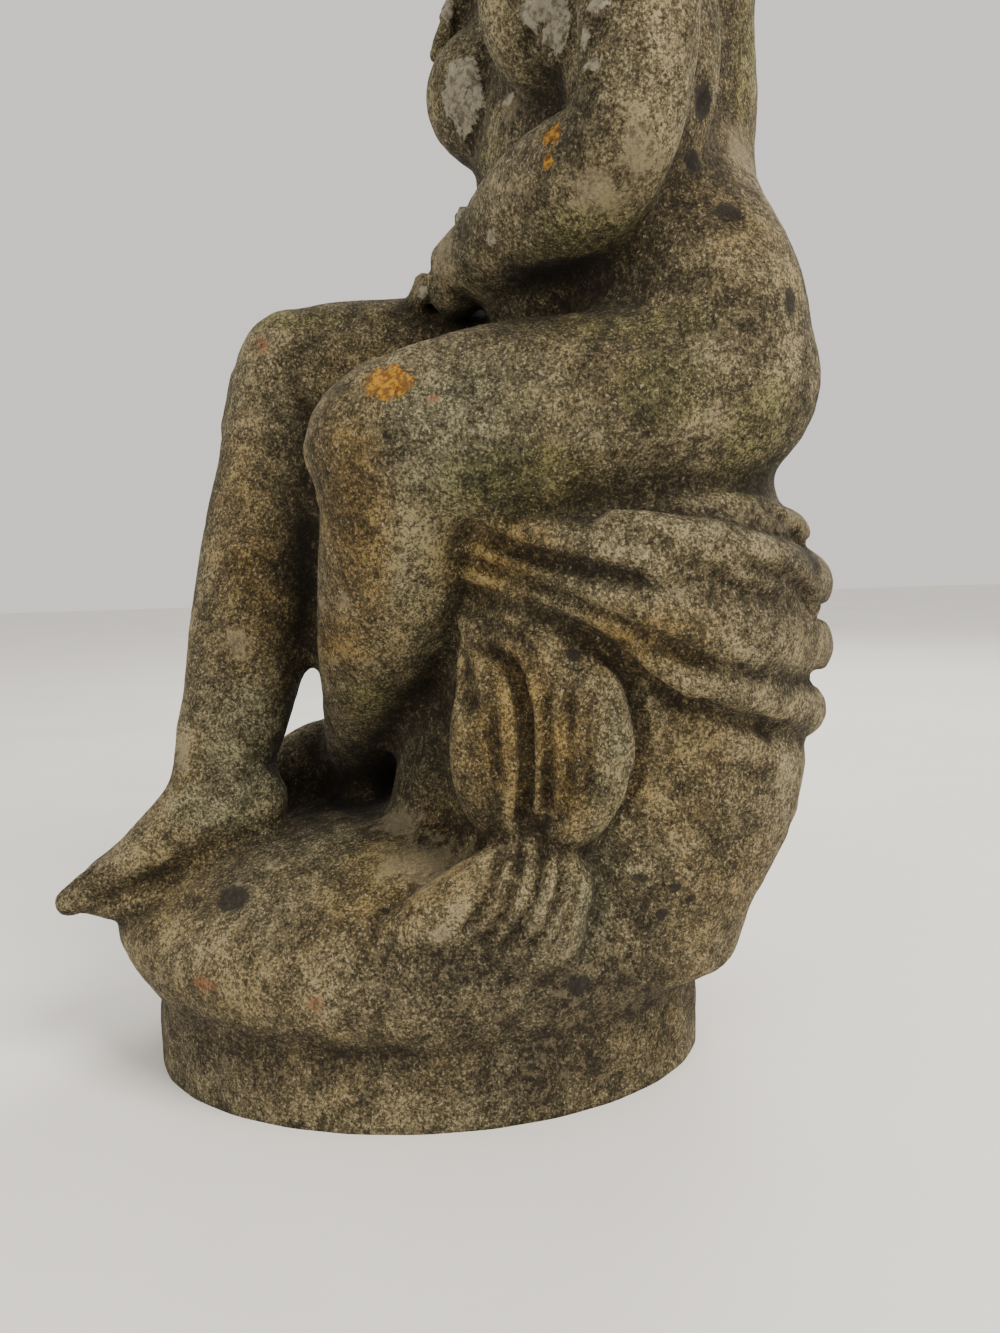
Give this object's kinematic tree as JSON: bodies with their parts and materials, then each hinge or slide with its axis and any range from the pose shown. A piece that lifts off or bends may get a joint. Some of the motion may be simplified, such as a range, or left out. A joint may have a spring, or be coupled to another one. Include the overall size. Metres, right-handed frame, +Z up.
{
  "type": "seated bather statue",
  "caption": "Weathered stone garden statue of a seated bather on a draped rock, with a low oval plinth, cast in one piece.",
  "frame": {"origin": "middle of the plinth's flat underside", "axes": "+Z up; the plinth's long axis lies along Y and the figure faces -Y, turned a little to her left, which is +X"},
  "size_m": [0.2219, 0.3046, 0.5847],
  "materials": {
    "weathered_stone": "rough, weathered, with lichen"
  },
  "bodies": {
    "root": {"bather_statue": "weathered_stone"}
  },
  "joints": []
}
